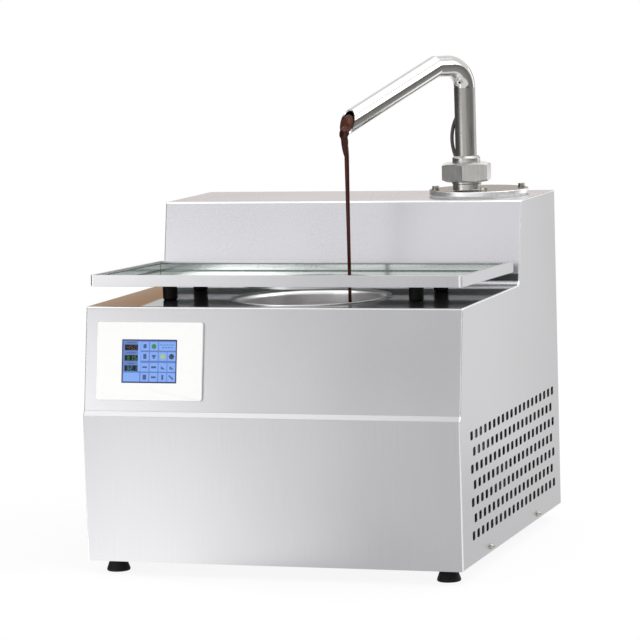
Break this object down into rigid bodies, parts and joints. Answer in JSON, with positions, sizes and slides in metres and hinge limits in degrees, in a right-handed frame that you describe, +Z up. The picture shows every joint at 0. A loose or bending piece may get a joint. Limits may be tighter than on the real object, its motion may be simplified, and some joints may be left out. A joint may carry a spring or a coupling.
{
  "type": "chocolate melting tank",
  "caption": "Table-top chocolate melting tank with a heated bowl, lift-off tray, auger pump, swivelling spout and touch panel in a vented stainless casing.",
  "frame": {"origin": "centre of the footprint on the floor, under the middle of the casing", "axes": "+Z up, -Y out of the front with the touch panel, +X to the right seen from the front"},
  "size_m": [0.484, 0.48, 0.6119],
  "materials": {
    "brushed_stainless": "fine vertical brushing",
    "mirror_stainless": "mirror polish",
    "galvanised_sheet": "galvanised",
    "polished_stainless": "polished",
    "satin_stainless": "turned and polished",
    "zinc_screws": "bright zinc",
    "black_rubber": "matt",
    "silicone_heater": "moulded silicone",
    "glass_wool": "woven",
    "white_gasket": "smooth",
    "bronze_bush": "turned",
    "sensor_steel": "satin",
    "lead_sheath": "sleeved",
    "gearbox_aluminium": "cast",
    "motor_enamel": "enamelled",
    "white_plastic": "moulded",
    "screen_glass": "cover glass over a lit display",
    "dark_plastic": "moulded",
    "grey_plastic": "moulded"
  },
  "bodies": {
    "casing": {"left_side_panel": "brushed_stainless", "right_side_panel": "brushed_stainless", "front_panel": "brushed_stainless", "deck_plate": "mirror_stainless", "rear_housing": "brushed_stainless", "back_panel": "brushed_stainless", "base_pan": "galvanised_sheet", "casing_screws": "zinc_screws", "back_screws": "zinc_screws", "bowl": "polished_stainless", "bowl_heater": "silicone_heater", "bowl_insulation": "glass_wool", "bowl_sensor": "sensor_steel", "shaft_bush": "bronze_bush", "stirrer_gearbox": "gearbox_aluminium", "stirrer_motor": "motor_enamel", "bowl_outlet": "satin_stainless", "pump_foot": "satin_stainless", "pump_column": "satin_stainless", "pump_gearbox": "gearbox_aluminium", "pump_motor": "motor_enamel", "column_heater": "silicone_heater", "cover_plate": "satin_stainless", "plate_gasket": "white_gasket", "plate_bolts": "zinc_screws", "union_neck": "satin_stainless", "union_seal": "white_gasket", "panel_bezel": "white_plastic", "panel_screen": "screen_glass", "panel_case": "dark_plastic", "control_box": "grey_plastic", "power_inlet": "dark_plastic", "switch_frame": "dark_plastic", "fan_frame": "dark_plastic"},
    "spout": {"union_ferrule": "satin_stainless", "riser": "satin_stainless", "elbow": "polished_stainless", "spout_tube": "polished_stainless", "sensor_lead": "lead_sheath"},
    "union_nut": {"union_nut": "satin_stainless"},
    "tray": {"tray": "polished_stainless", "tray_mounts": "black_rubber"},
    "stirrer": {"stirrer_shaft": "satin_stainless", "stirrer_blade": "polished_stainless"},
    "auger": {"auger_shaft": "satin_stainless", "auger_flight": "polished_stainless"},
    "fan": {"fan_rotor": "dark_plastic"},
    "rocker": {"switch_rocker": "dark_plastic"},
    "foot_fl": {"foot_pad_fl": "black_rubber", "foot_stud_fl": "zinc_screws"},
    "foot_fr": {"foot_pad_fr": "black_rubber", "foot_stud_fr": "zinc_screws"},
    "foot_rl": {"foot_pad_rl": "black_rubber", "foot_stud_rl": "zinc_screws"},
    "foot_rr": {"foot_pad_rr": "black_rubber", "foot_stud_rr": "zinc_screws"}
  },
  "joints": [
    {"name": "spout_swivel", "type": "hinge", "parent": "casing", "child": "spout", "pos_m": [0.1525, 0.122, 0.475], "axis": [0, 0, 1], "range_deg": [-60, 60]},
    {"name": "union_nut_turn", "type": "hinge", "parent": "casing", "child": "union_nut", "pos_m": [0.1525, 0.122, 0.463], "axis": [0, 0, 1], "range_deg": [0, 180]},
    {"name": "tray_lift", "type": "slide", "parent": "casing", "child": "tray", "axis": [0, 0, 1], "range_m": [0, 0.12]},
    {"name": "stirrer_spin", "type": "hinge", "parent": "casing", "child": "stirrer", "pos_m": [0.015, -0.106, 0.2], "axis": [0, 0, 1], "continuous": true},
    {"name": "auger_spin", "type": "hinge", "parent": "casing", "child": "auger", "pos_m": [0.1525, 0.122, 0.3], "axis": [0, 0, 1], "continuous": true},
    {"name": "fan_spin", "type": "hinge", "parent": "casing", "child": "fan", "pos_m": [-0.04, 0.218, 0.167], "axis": [0, 1, 0], "continuous": true},
    {"name": "mains_rocker", "type": "hinge", "parent": "casing", "child": "rocker", "pos_m": [-0.1675, 0.228, 0.117], "axis": [1, 0, 0], "range_deg": [-18, 0]},
    {"name": "foot_turn_fl", "type": "hinge", "parent": "casing", "child": "foot_fl", "pos_m": [-0.2105, -0.208, 0.01], "axis": [0, 0, 1], "range_deg": [-180, 180]},
    {"name": "foot_turn_fr", "type": "hinge", "parent": "casing", "child": "foot_fr", "pos_m": [0.2105, -0.208, 0.01], "axis": [0, 0, 1], "range_deg": [-180, 180]},
    {"name": "foot_turn_rl", "type": "hinge", "parent": "casing", "child": "foot_rl", "pos_m": [-0.1935, 0.208, 0.01], "axis": [0, 0, 1], "range_deg": [-180, 180]},
    {"name": "foot_turn_rr", "type": "hinge", "parent": "casing", "child": "foot_rr", "pos_m": [0.1935, 0.208, 0.01], "axis": [0, 0, 1], "range_deg": [-180, 180]}
  ]
}
